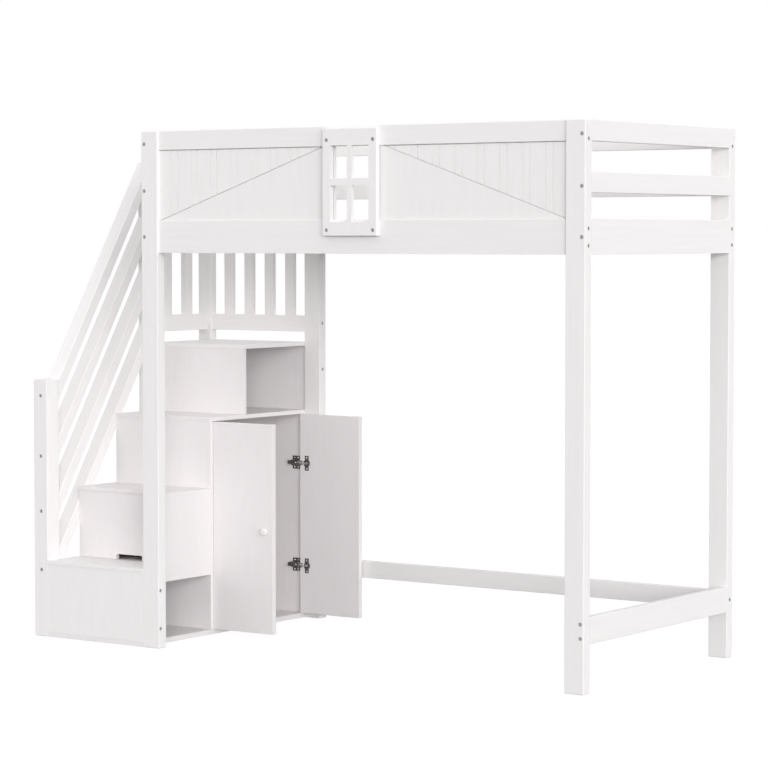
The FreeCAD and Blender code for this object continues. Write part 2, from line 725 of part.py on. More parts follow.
walls = [
    block("drawer_wall_left", ("drawer_box_left", "drawer_box_left + drawer_wall"), BOX_DEEP, BOX_TALL),
    block("drawer_wall_right", ("drawer_box_right - drawer_wall", "drawer_box_right"), BOX_DEEP, BOX_TALL),
    block("drawer_wall_back", ("drawer_box_left + drawer_wall", "drawer_box_right - drawer_wall"),
          ("drawer_end - drawer_wall", "drawer_end"), BOX_TALL),
]
several("drawer_walls", [eased(wall, "board_round", "xyz") for wall in walls])
stair_board("drawer_bottom", ("drawer_box_left + drawer_wall", "drawer_box_right - drawer_wall"),
            ("drawer_inner", "drawer_end - drawer_wall"),
            ("drawer_box_foot", "drawer_box_foot + drawer_floor"))

# Cabinet doors, standing open
DOOR_WIDE = ("door_left", "door_free_edge")
DOOR_TALL = ("door_foot", "door_head")
HINGE_LEVELS = ("hinge_low", "hinge_high")
stair_board("front_door", DOOR_WIDE, ("front_door_outer", "front_door_inner"), DOOR_TALL)
stair_board("back_door", DOOR_WIDE, ("back_door_inner", "back_door_outer"), DOOR_TALL)
for name, heading, outer, inner, pivot in (
        ("front_door", "-y", "front_door_outer", "front_door_inner", "front_pivot"),
        ("back_door", "+y", "back_door_outer", "back_door_inner", "back_pivot")):
    stud = round_hole(f"{name}_stud_hole", ("knob_place", inner, "knob_level"), heading,
                      "knob_stud_diameter / 2 + knob_stud_gap", "door_thickness + cut_overrun")
    cut_from(name, stud)
    skin = {"-y": (f"{outer} + hinge_notch_skin", f"{inner} + cut_overrun"),
            "+y": (f"{inner} - cut_overrun", f"{outer} - hinge_notch_skin")}[heading]
    for level in HINGE_LEVELS:
        foot = f"{level} - hinge_notch_height / 2"
        cut_from(name, block(f"{name}_{level}_notch",
                             ("door_left - cut_overrun", "door_left + hinge_notch_width"),
                             skin, (foot, f"{foot} + hinge_notch_height")))
        cut_from(name, round_hole(f"{name}_{level}_pin_hole",
                                  ("pivot_left", pivot, f"{foot} - pin_bite + cut_overrun"), "+z",
                                  "pin_diameter / 2 + pin_gap",
                                  "hinge_notch_height + 2 * pin_bite - cut_overrun"))
        cut_from(name, round_hole(f"{name}_{level}_cup_hole",
                                  ("door_left + plate_inset + plate_width / 2", inner, level), heading,
                                  "cup_diameter / 2 + cup_gap", "cup_depth + cup_gap"))

# Bolts and barrel nuts of the bed frame
for post, end, heading in (("left", "bed_left", "+x"), ("right", "bed_right", "-x")):
    for rail, level in (("front_top_rail", "long_top_bolt"), ("front_side_rail", "side_bolt_high"),
                        ("front_side_rail", "side_bolt_low")):
        rail_bolt((end, "front_rail_middle", level), heading, "post_width", f"front_{post}_post", rail,
                  "-y")
    for rail, level in (("back_top_rail", "long_top_bolt"), ("back_side_rail", "side_bolt_high"),
                        ("back_side_rail", "side_bolt_low"),
                        ("back_floor_stretcher", "back_stretcher_bolt")):
        rail_bolt((end, "back_rail_middle", level), heading, "post_width", f"back_{post}_post", rail, "+y")
for post, edge, heading in (("front", "front", "+y"), ("back", "back", "-y")):
    for rail, level in (("right_top_rail", "end_top_bolt"), ("right_middle_rail", "end_middle_bolt"),
                        ("right_side_rail", "end_side_bolt"),
                        ("right_floor_stretcher", "end_stretcher_bolt_high"),
                        ("right_floor_stretcher", "end_stretcher_bolt_low")):
        rail_bolt(("right_rail_middle", edge, level), heading, "post_depth", f"{post}_right_post", rail,
                  "+x")
    rail_bolt(("left_rail_middle", edge, "end_side_bolt"), heading, "post_depth", f"{post}_left_post",
              "left_side_rail", "-x")
for rail, level in (("left_top_rail", "end_top_bolt"), ("left_middle_rail", "end_middle_bolt")):
    rail_bolt(("left_rail_middle", "front", level), "+y", "post_depth", "front_left_post", rail, "-x")
    rail_bolt(("left_rail_middle", "entry_post_back", level), "-y", "entry_post_width", "entry_post", rail,
              "-x")

# Bolts that tie the stair unit, the guard and the hand rail together
for level in ("front_board_bolt_high", "front_board_bolt_low"):
    bolt(("left_inner", "front + front_board_thickness / 2", level), "-x", "post_width", "board_bite",
         "front_left_post", "step_front_board")
for rail, middle, level in (("back_guard_rail_low", "back_guard_middle", "guard_bolt_low"),
                            ("back_guard_rail_high", "back_guard_middle", "guard_bolt_high"),
                            ("landing_rear_board", "back_rail_middle", "landing_bolt")):
    bolt(("left_inner", middle, level), "-x", "post_width", "board_bite", "back_left_post", rail)
for drop in ("newel_bolt_first_drop", "newel_bolt_second_drop", "newel_bolt_third_drop",
             "newel_bolt_fourth_drop"):
    bolt(("unit_left - handrail_bolt_inset", "front", f"newel_height - {drop}"), "+y", "newel_bolt_length",
         "0", "newel_post")
for number, name in enumerate(HANDRAILS):
    foot = f"handrail_foot - {number} * handrail_step"
    bolt(("unit_left - handrail_head_inset", "upper_newel_back",
          f"{foot} + handrail_rise + handrail_head_bolt"),
         "-y", "upper_newel_depth", "board_bite", "upper_newel_post", name)
for post, edge, grip, middle, board in (
        ("upper_newel_post", "guard_left", "guard_stock", "upper_newel_front + upper_newel_depth / 2",
         "cabinet_left_side"),
        ("guard_corner_post", "corner_post_left", "corner_post_width", "back_inner + board_thickness / 2",
         "cabinet_rear_wall")):
    for level in ("unit_bolt_low", "unit_bolt_high"):
        bolt((edge, middle, level), "+x", grip, "panel_bite", post, board)
for sign, edge in (("+", "window_left"), ("-", "window_right")):
    for rail, level in (("front_top_rail", "window_top - window_bolt_drop"),
                        ("front_side_rail", "window_level + window_bolt_rise")):
        bolt((f"{edge} {sign} window_bolt_inset", "window_face", level), "+y", "window_thickness",
             "window_bite", "window_frame", rail)


def heading_placement(start, heading):
    """The placement that carries a piece made standing on the origin to a start and a heading."""
    place = FreeCAD.Vector(*(value(text) for text in start))
    return FreeCAD.Placement(place, FreeCAD.Rotation(UP, HEADINGS[heading]))


def bolt_solid(length):
    """A socket bolt along +Z, its head just under the origin."""
    sink = value("bolt_sink")
    head = Part.makeCylinder(value("bolt_head / 2"), value("bolt_head_height"), FreeCAD.Vector(0, 0, sink))
    half_sink = value("sink_depth / 2")
    rim = [edge for edge in head.Edges if edge.BoundBox.ZMax < half_sink and len(edge.Vertexes) == 1]
    head = head.makeFillet(value("bolt_round"), rim)
    corners = []
    for turn in range(7):
        angle = turn * math.pi / 3
        reach = value("bolt_socket / 2")
        corners.append(FreeCAD.Vector(reach * math.cos(angle), reach * math.sin(angle), 0))
    socket = Part.Face(Part.makePolygon(corners)).extrude(UP * (sink + value("bolt_socket_depth")))
    shank = Part.makeCylinder(value("bolt_shank / 2"), length - value("sink_depth"),
                              FreeCAD.Vector(0, 0, value("sink_depth")))
    return head.cut(socket).fuse(shank)


def nut_solid(middle, axis, bolt_axis):
    """A barrel nut across a bolt, bored for its shank."""
    middle = FreeCAD.Vector(*(value(text) for text in middle))
    along = HEADINGS[axis]
    barrel = Part.makeCylinder(value("nut_diameter / 2"), value("nut_length"),
                               middle - along * value("nut_length / 2"), along)
    across = HEADINGS[bolt_axis]
    bore = Part.makeCylinder(value("bolt_shank / 2 + nut_gap"), value("nut_diameter + 2 * cut_overrun"),
                             middle - across * value("nut_diameter / 2 + cut_overrun"), across)
    return barrel.cut(bore)


def placed_set(name, solids):
    """Small hardware of one kind, each solid in its own place."""
    pieces[name] = doc.addObject("Part::Feature", name + "_set")
    pieces[name].Shape = Part.makeCompound(solids)


bolt_solids = []
for start, heading, length in bolts:
    solid = bolt_solid(value(length))
    solid.Placement = heading_placement(start, heading)
    bolt_solids.append(solid)
placed_set("frame_bolts", bolt_solids)
placed_set("barrel_nuts", [nut_solid(*nut) for nut in nuts])


# Knobs: a round cap on a neck, with a stud through the door
def knob_solid(outer, heading):
    """One knob, seated on the outer face of its door."""
    neck = value("knob_neck")
    thick = value("knob_thickness")
    cap = Part.makeCylinder(value("knob_diameter / 2"), thick, FreeCAD.Vector(0, 0, neck))
    rims = [edge for edge in cap.Edges if len(edge.Vertexes) == 1]
    cap = cap.makeFillet(value("knob_round"), rims)
    stem = Part.makeCylinder(value("knob_neck_diameter / 2"), neck + thick / 2)
    stud_length = value("door_thickness")
    stud = Part.makeCylinder(value("knob_stud_diameter / 2"), stud_length + neck,
                             FreeCAD.Vector(0, 0, -stud_length))
    knob = cap.fuse([stem, stud]).removeSplitter()
    knob.Placement = heading_placement(("knob_place", outer, "knob_level"), heading)
    return knob


placed_set("front_door_knob", [knob_solid("front_door_outer", "-y")])
placed_set("back_door_knob", [knob_solid("back_door_outer", "+y")])


def cornered(low, high, radius):
    """A small block between two corners, all its edges rounded."""
    low = FreeCAD.Vector(*low)
    sides = FreeCAD.Vector(*high) - low
    solid = Part.makeBox(sides.x, sides.y, sides.z, low)
    return solid.makeFillet(radius, solid.Edges)


def arm_solid(wall, level, turn):
    """A hinge arm on a wall face: tall foot, arm with a narrow tip, and thin link, its eye round the pin."""
    start = -value("arm_start")
    end = start - value("arm_length")
    round_off = value("arm_round")
    foot_end = start - value("arm_foot_length")
    deep = value("arm_depth")
    tall = value("arm_height / 2")
    tip_tall = value("arm_tip_height / 2")
    tip_start = end + value("arm_tip_length")
    foot_tall = value("arm_foot_height / 2")
    foot = cornered((foot_end, 0, -foot_tall), (start, value("arm_foot_thickness"), foot_tall),
                    value("plate_round"))
    arm = cornered((tip_start, 0, -tall), (start, deep, tall), round_off)
    tip = cornered((end, 0, -tip_tall), (tip_start + deep, deep, tip_tall), round_off)
    stand = value("pivot_stand")
    half_eye = value("eye_diameter / 2")
    half_link = value("link_height / 2")
    pivot = FreeCAD.Vector(value("door_proud - pivot_inset"), stand, -half_link)
    thin = value("link_thickness")
    link = Part.makeBox(pivot.x - start + round_off, thin, 2 * half_link,
                        FreeCAD.Vector(start - round_off, stand - thin / 2, -half_link))
    eye = Part.makeCylinder(half_eye, 2 * half_link, pivot)
    bore = Part.makeCylinder(value("pin_diameter / 2 + pin_gap"), 2 * half_link, pivot)
    arm = arm.fuse([tip, foot, link, eye]).cut(bore).removeSplitter()
    arm.Placement = FreeCAD.Placement(
        FreeCAD.Vector(value("bed_left"), value(wall), value(level)),
        FreeCAD.Rotation(HEADINGS["+x"], turn))
    return arm


def plate_solids(inner, pivot, level, turn):
    """A hinge plate with a round flange and a sunk cup, and the pin that the arm's eye turns on."""
    thick = value("plate_thickness")
    start = value("plate_inset")
    end = start + value("plate_width")
    tall = value("plate_height / 2")
    plate = cornered((start, 0, -tall), (end, thick, tall), value("plate_round"))
    middle = (start + end) / 2
    cup = Part.makeCylinder(value("cup_diameter / 2"), value("cup_depth") + thick / 2,
                            FreeCAD.Vector(middle, thick / 2, 0), HEADINGS["-y"])
    flange = Part.makeCylinder(value("flange_diameter / 2"), thick, FreeCAD.Vector(middle, thick, 0),
                               HEADINGS["-y"])
    plate = plate.fuse([flange, cup]).removeSplitter()
    plate.Placement = FreeCAD.Placement(
        FreeCAD.Vector(value("door_left"), value(inner), value(level)),
        FreeCAD.Rotation(HEADINGS["+x"], turn))
    length = value("hinge_notch_height + 2 * pin_bite")
    pin = Part.makeCylinder(value("pin_diameter / 2"), length,
                            FreeCAD.Vector(value("pivot_left"), value(pivot), value(level) - length / 2))
    return [plate, pin]


HALF_TURN = 180
WALLS = (("wall_back", 0), ("back_inner", HALF_TURN))
placed_set("hinge_arms", [arm_solid(wall, level, turn) for wall, turn in WALLS for level in HINGE_LEVELS])
for name, inner, pivot, turn in (("front_hinge_plates", "front_door_inner", "front_pivot", 0),
                                 ("back_hinge_plates", "back_door_inner", "back_pivot", HALF_TURN)):
    placed_set(name, [solid for level in HINGE_LEVELS for solid in plate_solids(inner, pivot, level, turn)])

# Cut the holes, then name, check and write every piece
for name, holes in cutters.items():
    tool = holes[0]
    if len(holes) > 1:
        tool = doc.addObject("Part::MultiFuse", name + "_holes")
        tool.Shapes = holes
    cut = doc.addObject("Part::Cut", name + "_cut")
    cut.Base = pieces[name]
    cut.Tool = tool
    pieces[name] = cut
for name, members in SETS.items():
    several(name, [pieces.pop(member) for member in members])
doc.recompute()
for item in doc.Objects:
    if "Invalid" in item.State or "Error" in item.State:
        raise RuntimeError(f"{item.Label} did not compute")
for name, piece in pieces.items():
    piece.Label = name
    if piece.Shape.isNull() or not piece.Shape.isValid():
        raise RuntimeError(f"{name} has no sound shape")
    piece.Shape.exportStep(f"parts/{name}.step")
    box = piece.Shape.BoundBox
    sides = f"{box.XLength:.1f} x {box.YLength:.1f} x {box.ZLength:.1f}"
    print(f"{name}: {len(piece.Shape.Solids)} solids, {sides}")
print(len(pieces), "pieces")
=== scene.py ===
# %% [markdown]
# A white loft bed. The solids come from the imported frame, which already has the posts, rails, stair boards,
# doors and bolts at their real sizes. This lesson adds what a solid cannot say: the paint, the grain under
# it, the metal, the small screws and the light. The frame is loaded first, because every later step hangs
# on it.

# %% Load the frame
import json
import math

import bpy
import numpy as np
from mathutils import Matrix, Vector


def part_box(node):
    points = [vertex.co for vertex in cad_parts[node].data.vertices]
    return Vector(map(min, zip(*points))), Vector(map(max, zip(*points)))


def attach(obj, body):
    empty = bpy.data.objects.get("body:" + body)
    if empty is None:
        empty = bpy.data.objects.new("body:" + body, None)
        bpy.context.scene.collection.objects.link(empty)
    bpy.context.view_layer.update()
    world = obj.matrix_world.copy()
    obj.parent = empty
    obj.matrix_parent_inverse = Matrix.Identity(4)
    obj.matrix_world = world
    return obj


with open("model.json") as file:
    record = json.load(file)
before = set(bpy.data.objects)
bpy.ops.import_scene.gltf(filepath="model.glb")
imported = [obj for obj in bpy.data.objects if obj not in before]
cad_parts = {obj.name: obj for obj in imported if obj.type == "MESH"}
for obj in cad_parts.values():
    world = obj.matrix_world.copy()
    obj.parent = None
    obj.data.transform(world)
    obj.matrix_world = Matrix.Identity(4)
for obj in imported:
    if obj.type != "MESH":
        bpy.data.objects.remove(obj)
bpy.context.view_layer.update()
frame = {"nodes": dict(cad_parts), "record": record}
slot_of = {entry["node"]: entry["material_slot"] for entry in frame["record"]["subparts"]}

# %% [markdown]
# The picture was taken with a long lens from the right of the bed, at about four fifths of its height. A
# camera is a place, two turns and a focal length. These came from the bed's own straight edges: lines that
# run along the length, the width and the height each meet in one vanishing point, and three such points fix
# the camera.

# %% Camera
QUARTER = math.pi / 2
CAMERA_PLACE = (6.2424, -8.7966, 1.5944)
CAMERA_YAW = 35.1447
CAMERA_PITCH = 3.0388
SENSOR_WIDTH = 36.0
FOCAL_LENGTH = 130.61
SIGHT_LIMIT = 100.0

camera_data = bpy.data.cameras.new("photo_camera")
camera_data.sensor_width = SENSOR_WIDTH
camera_data.lens = FOCAL_LENGTH
camera_data.clip_end = SIGHT_LIMIT
camera = bpy.data.objects.new("photo_camera", camera_data)
camera.location = CAMERA_PLACE
camera.rotation_euler = (QUARTER - math.radians(CAMERA_PITCH), 0.0, math.radians(CAMERA_YAW))
bpy.context.collection.objects.link(camera)
bpy.context.scene.camera = camera
bpy.context.scene.view_settings.view_transform = "Standard"
print("camera", tuple(camera.location))

# %% [markdown]
# A studio for white furniture is mostly big soft light, and the world gives an even glow from all round. The
# camera sees that world as plain white, and so do mirrors, while the bed is lit by a calmer level. A second
# lamp could not do that, but a Light Path node can, because it knows which kind of ray is asking. Graphs of
# nodes come up in every later step, so two helpers for them are defined here.

# %% World
WHITE = (1.0, 1.0, 1.0, 1.0)
WORLD_LEVEL = 0.8
WORLD_SEEN = 1.0


def add_node(tree, kind, inputs=(), **settings):
    """Add a node with its settings; each input, by name or number, takes a link or a plain value."""
    node = tree.nodes.new(kind)
    for title, setting in settings.items():
        setattr(node, title, setting)
    for socket, source in inputs:
        if isinstance(source, bpy.types.NodeSocket):
            tree.links.new(source, node.inputs[socket])
        else:
            node.inputs[socket].default_value = source
    return node


def calculate(tree, operation, *terms):
    """The result of a Math node on its terms, which are sockets or numbers."""
    return add_node(tree, "ShaderNodeMath", enumerate(terms), operation=operation).outputs[0]


def white_to_eye(tree):
    """A mask that is 1 for rays from the camera and for rays that metal or glass send on."""
    path = add_node(tree, "ShaderNodeLightPath").outputs
    first = calculate(tree, "MAXIMUM", path["Is Camera Ray"], path["Is Glossy Ray"])
    return calculate(tree, "MAXIMUM", first, path["Is Transmission Ray"])


def mix_into(ending, tree, mask, lit, seen):
    """Blend two shaders by a mask, from the first at 0 to the second at 1, into an output node."""
    choose = add_node(tree, "ShaderNodeMixShader", [(0, mask), (1, lit.outputs[0]), (2, seen.outputs[0])])
    tree.links.new(choose.outputs[0], tree.nodes[ending].inputs["Surface"])


def studio_world():
    """A world that looks white and lights the bed at a plain level."""
    world = bpy.data.worlds.new("studio")
    world.use_nodes = True
    tree = world.node_tree
    glow = tree.nodes["Background"]
    glow.inputs["Color"].default_value = WHITE
    glow.inputs["Strength"].default_value = WORLD_LEVEL
    seen = add_node(tree, "ShaderNodeBackground", [("Color", WHITE), ("Strength", WORLD_SEEN)])
    mix_into("World Output", tree, white_to_eye(tree), glow, seen)
    bpy.context.scene.world = world


studio_world()
print("world level", WORLD_LEVEL)

# %% [markdown]
# Two wide lamps stand low in front: a key well to the right, so that the end faces come out a step lighter
# than the front, and a stronger fill beside the camera, low enough to reach under the bed and into the
# cupboard. A weak lamp from above lifts the treads. Sun lamps are used, because they light near and far
# pieces alike, and a wide angle makes their shadows soft.

# %% Lamps
def far_lamp(name, turn, rise, spread, level):
    """A far, wide lamp, turned from the front towards the right and raised by degrees, soft over a spread."""
    data = bpy.data.lights.new(name, "SUN")
    data.angle = math.radians(spread)
    data.energy = level
    lamp = bpy.data.objects.new(name, data)
    lamp.rotation_euler = (QUARTER - math.radians(rise), 0.0, math.radians(turn))
    bpy.context.collection.objects.link(lamp)
    print(name, "level", level)


far_lamp("key_lamp", turn=69.0, rise=10.0, spread=36.0, level=0.9)
far_lamp("fill_lamp", turn=43.0, rise=5.0, spread=30.0, level=1.86)
far_lamp("high_lamp", turn=-30.0, rise=72.0, spread=60.0, level=0.2)

# %% [markdown]
# The floor is a wide plain sheet that vanishes into the white. To the camera it is mostly a glow, like the
# world behind the bed, with a share of real paint left in, so that the feet still throw a soft shadow. It
# reaches far out, because the low lamps shine partly from below the horizon: past a near edge, that part
# would reach the high pieces and not the low ones.

# %% Floor
FLOOR_HALF = 200.0
FLOOR_PAINT = (0.28, 0.28, 0.28, 1.0)
FLOOR_ROUGHNESS = 0.9
FLOOR_SPECULAR = 0.1
FLOOR_GLOW = 1.49
FLOOR_SHADOW_SHARE = 0.375


def floor_finish():
    """Dull paint for the light, and a glow with a share of that paint for the eye."""
    finish = bpy.data.materials.new("studio_floor")
    finish.use_nodes = True
    tree = finish.node_tree
    paint = tree.nodes["Principled BSDF"]
    paint.inputs["Base Color"].default_value = FLOOR_PAINT
    paint.inputs["Roughness"].default_value = FLOOR_ROUGHNESS
    paint.inputs["Specular IOR Level"].default_value = FLOOR_SPECULAR
    glow = add_node(tree, "ShaderNodeEmission", [("Strength", FLOOR_GLOW)])
    share = calculate(tree, "MULTIPLY", white_to_eye(tree), 1.0 - FLOOR_SHADOW_SHARE)
    mix_into("Material Output", tree, share, paint, glow)
    return finish


def plain_floor():
    """A square sheet on a two by two grid, at the height of the feet."""
    side = np.array([-FLOOR_HALF, FLOOR_HALF])
    across, deep = np.meshgrid(side, side)
    points = np.stack([across.ravel(), deep.ravel(), np.zeros(across.size)], axis=1)
    mesh = bpy.data.meshes.new("floor")
    mesh.from_pydata(points.tolist(), [], [(0, 1, 3, 2)])
    mesh.materials.append(floor_finish())
    floor = bpy.data.objects.new("floor", mesh)
    bpy.context.collection.objects.link(floor)


plain_floor()
print("floor reaches out by", FLOOR_HALF)

# %% [markdown]
# White paint over pine is never quite flat. The grain stands up a little under the film, in long streaks that
# follow each stick, and the sheen drifts slowly over it. Cut grooves would be far too fine for a mesh, so the
# grain is worked out from noise: squeezed along one axis, noise turns into streaks. One node group holds it,
# so that every painted piece can share it with its own direction and strength.

# %% Grain group
FLOAT, VECTOR = "NodeSocketFloat", "NodeSocketVector"
STREAK_NOISE = {"Detail": 4.0, "Roughness": 0.62, "Distortion": 0.35}
SOFT_NOISE = {"Detail": 2.0, "Roughness": 0.5}
PORES_PER_STREAK = 4.5
PORE_SHARE = 0.35
CLOUD_SCALE = 3.2


def new_group(name, inputs, outputs):
    """An empty shader group with named sockets, and the ends inside it to read from and to write to."""
    group = bpy.data.node_groups.new(name, "ShaderNodeTree")
    for direction, sockets in (("INPUT", inputs), ("OUTPUT", outputs)):
        for title, kind in sockets.items():
            group.interface.new_socket(title, in_out=direction, socket_type=kind)
    given = group.nodes.new("NodeGroupInput").outputs
    put = group.nodes.new("NodeGroupOutput").inputs
    return group, given, put


def noise(tree, vector, scale, settings):
    """The grey value of a noise texture, with its other inputs by name."""
    inputs = {"Vector": vector, "Scale": scale, **settings}
    return add_node(tree, "ShaderNodeTexNoise", inputs.items()).outputs["Fac"]


def grain_group():
    """Streaks are noise squeezed along Z, pores the same but finer, and clouds are slow noise left round.

    The height is the streaks plus a share of the pores.
    """
    group, given, put = new_group("painted_grain", {"Vector": VECTOR, "Streaks": FLOAT, "Stretch": FLOAT},
                                  {"Height": FLOAT, "Streak": FLOAT, "Cloud": FLOAT})
    squeeze = calculate(group, "DIVIDE", 1.0, given["Stretch"])
    along = add_node(group, "ShaderNodeCombineXYZ", [("X", 1.0), ("Y", 1.0), ("Z", squeeze)])
    drawn = add_node(group, "ShaderNodeVectorMath", [(0, given["Vector"]), (1, along.outputs[0])],
                     operation="MULTIPLY").outputs[0]
    streak = noise(group, drawn, given["Streaks"], STREAK_NOISE)
    pore_scale = calculate(group, "MULTIPLY", given["Streaks"], PORES_PER_STREAK)
    pore = noise(group, drawn, pore_scale, SOFT_NOISE)
    cloud = noise(group, given["Vector"], CLOUD_SCALE, SOFT_NOISE)
    height = calculate(group, "MULTIPLY_ADD", pore, PORE_SHARE, streak)
    for title, source in (("Height", height), ("Streak", streak), ("Cloud", cloud)):
        group.links.new(source, put[title])
    return group


painted_grain = grain_group()
print("grain group sockets:", [item.name for item in painted_grain.interface.items_tree])

# %% [markdown]
# All the painted pieces share one recipe: a white that darkens a little in the streaks, a roughness that
# follows the clouds, and a bump from the height. A flat colour would look like plastic, and more grain than
# this would look like bare wood, so each kind of piece gives its own streaks, stretch, relief and tint.

# %% Paint
PAINT = (0.862, 0.84, 0.842)
PAINT_SHADE = (0.82, 0.798, 0.798)
PAINT_ROUGHNESS = (0.42, 0.54)
PAINT_SPECULAR = 0.35
GRAIN_HEIGHT = 0.0012
STREAK_SPAN = (0.38, 0.66)
NOISE_SPAN = (0.3, 0.7)
# A Mix node has sockets of the same name for numbers, vectors and colours. These are the ones for colours.
MIX_FACTOR, MIX_FIRST, MIX_SECOND, MIX_RESULT = 0, 6, 7, 2


def blend_colours(tree, factor, first, second):
    """Mix two colours by a factor socket."""
    mix = add_node(tree, "ShaderNodeMix",
                   [(MIX_FACTOR, factor), (MIX_FIRST, (*first, 1.0)), (MIX_SECOND, (*second, 1.0))],
                   data_type="RGBA")
    return mix.outputs[MIX_RESULT]


def remap(tree, source, span, result):
    """Map a value from one span to another, held inside it."""
    ends = zip(("From Min", "From Max", "To Min", "To Max"), (*span, *result))
    return add_node(tree, "ShaderNodeMapRange", [("Value", source), *ends]).outputs[0]


def bumped(tree, height, strength, distance):
    """A normal that leans as if the surface rose with a height, by up to a distance in metres."""
    inputs = [("Height", height), ("Strength", strength), ("Distance", distance)]
    return add_node(tree, "ShaderNodeBump", inputs).outputs[0]


def new_finish(name):
    """A new material, its tree of nodes and the inputs of its shader."""
    finish = bpy.data.materials.new(name)
    finish.use_nodes = True
    return finish, finish.node_tree, finish.node_tree.nodes["Principled BSDF"].inputs


def painted_finish(name, turn, look, paint=PAINT, shaded=PAINT_SHADE):
    """White satin paint with the grain of the wood just showing."""
    finish, tree, shader = new_finish(name)
    place = add_node(tree, "ShaderNodeTexCoord").outputs["Object"]
    turned = add_node(tree, "ShaderNodeMapping", [("Vector", place), ("Rotation", turn)]).outputs[0]
    inputs = [("Vector", turned), ("Streaks", look["streaks"]), ("Stretch", look["stretch"])]
    grain = add_node(tree, "ShaderNodeGroup", inputs, node_tree=painted_grain).outputs
    shade = remap(tree, grain["Streak"], STREAK_SPAN, (0.0, look["tint"]))
    tree.links.new(blend_colours(tree, shade, paint, shaded), shader["Base Color"])
    tree.links.new(remap(tree, grain["Cloud"], NOISE_SPAN, PAINT_ROUGHNESS), shader["Roughness"])
    tree.links.new(bumped(tree, grain["Height"], look["relief"], GRAIN_HEIGHT), shader["Normal"])
    shader["Specular IOR Level"].default_value = PAINT_SPECULAR
    return finish


print("paint:", PAINT, "in the streaks:", PAINT_SHADE)

# %% [markdown]
# The sticks run four ways: along the bed, across it, upright, and up the stair as hand rails. The grain group
# streaks along its own Z, so each finish turns the object's coordinates until the stick's length lies on Z.

# %% Painted timber
HAND_RAIL_RISE, HAND_RAIL_RUN = 0.875, 0.564
TIMBER_LOOK = {"streaks": 60.0, "stretch": 20.0, "relief": 0.22, "tint": 0.45}
TIMBER_WAYS = {"z": "upright", "x": "long", "y": "across", "slope": "sloping"}
GRAIN_TURN = {
    "z": (0.0, 0.0, 0.0),
    "x": (0.0, -QUARTER, 0.0),
    "y": (QUARTER, 0.0, 0.0),
    "slope": (QUARTER - math.atan2(HAND_RAIL_RISE, HAND_RAIL_RUN), 0.0, 0.0),
}
timber_finish = {way: painted_finish(f"painted_timber_{word}", GRAIN_TURN[way], TIMBER_LOOK)
                 for way, word in TIMBER_WAYS.items()}
print("painted timber:", sorted(timber_finish))

# %% [markdown]
# The stair unit and the front infill are flat manufactured board. Paint lies on it more evenly, with only the
# faint orange peel of a sprayed film and a slow drift of tone, which short, weak streaks give well. Most of
# the stair unit takes a warmer, deeper copy of the bed's white: painted shade, standing in for the dimmer and
# warmer light that falls on it. The infill, the front of the first step, the first tread and the landing keep
# the bed's own white.

# %% Painted board
# Painted shade: the stair unit's white and its streak tone are darker, warmer copies of the bed's paint.
STAIR_PAINT_IN_SHADE = (0.828, 0.798, 0.802)
STAIR_STREAKS_IN_SHADE = (0.788, 0.758, 0.762)
BOARD_LOOK = {"streaks": 42.0, "stretch": 6.0, "relief": 0.1, "tint": 0.4}
BOARD_WAYS = ("z", "x")
BED_WHITE = ("bead_panels", "gusset_panels", "window_frame", "step_front_board", "first_tread", "landing_board")

bed_board = {way: painted_finish(f"bed_board_{way}", GRAIN_TURN[way], BOARD_LOOK) for way in BOARD_WAYS}
shaded_stair_board = {way: painted_finish(f"shaded_stair_board_{way}", GRAIN_TURN[way], BOARD_LOOK, STAIR_PAINT_IN_SHADE, STAIR_STREAKS_IN_SHADE)
               for way in BOARD_WAYS}
print("painted board:", sorted(bed_board), sorted(shaded_stair_board))

# %% [markdown]
# Three metals hold the bed together: nickel plated bolts, darker nickel hinges and zinc nuts. A fourth, bright
# one is for the screws and links of the hinges. What the eye reads as metal is mostly how the gloss breaks
# up, so a second group gives small smears, and a fine grit for the bump.

# %% Metal finishes
SMEAR_NOISE = {"Detail": 3.0, "Roughness": 0.6, "Distortion": 0.8}
SMEAR_SCALE = 200.0
GRITS_PER_SMEAR = 9.0
WORN_SPAN = (0.35, 0.65)
GRIT_HEIGHT = 0.0002


def smear_group():
    """Smears of wear from noise, for tone and roughness, and a finer noise as grit for the bump."""
    group, given, put = new_group("metal_smear", {"Vector": VECTOR, "Scale": FLOAT},
                                  {"Smear": FLOAT, "Grit": FLOAT})
    smear = noise(group, given["Vector"], given["Scale"], SMEAR_NOISE)
    finer = calculate(group, "MULTIPLY", given["Scale"], GRITS_PER_SMEAR)
    grit = noise(group, given["Vector"], finer, SOFT_NOISE)
    group.links.new(smear, put["Smear"])
    group.links.new(grit, put["Grit"])
    return group


metal_smear = smear_group()


def metal_finish(name, clean, dull, roughness, relief):
    """A metal whose tone and gloss vary with the smears, each between two ends."""
    finish, tree, shader = new_finish(name)
    place = add_node(tree, "ShaderNodeTexCoord").outputs["Object"]
    inputs = [("Vector", place), ("Scale", SMEAR_SCALE)]
    smear = add_node(tree, "ShaderNodeGroup", inputs, node_tree=metal_smear).outputs
    worn = remap(tree, smear["Smear"], WORN_SPAN, (0.0, 1.0))
    tree.links.new(blend_colours(tree, worn, clean, dull), shader["Base Color"])
    tree.links.new(remap(tree, smear["Smear"], NOISE_SPAN, roughness), shader["Roughness"])
    tree.links.new(bumped(tree, smear["Grit"], relief, GRIT_HEIGHT), shader["Normal"])
    shader["Metallic"].default_value = 1.0
    return finish


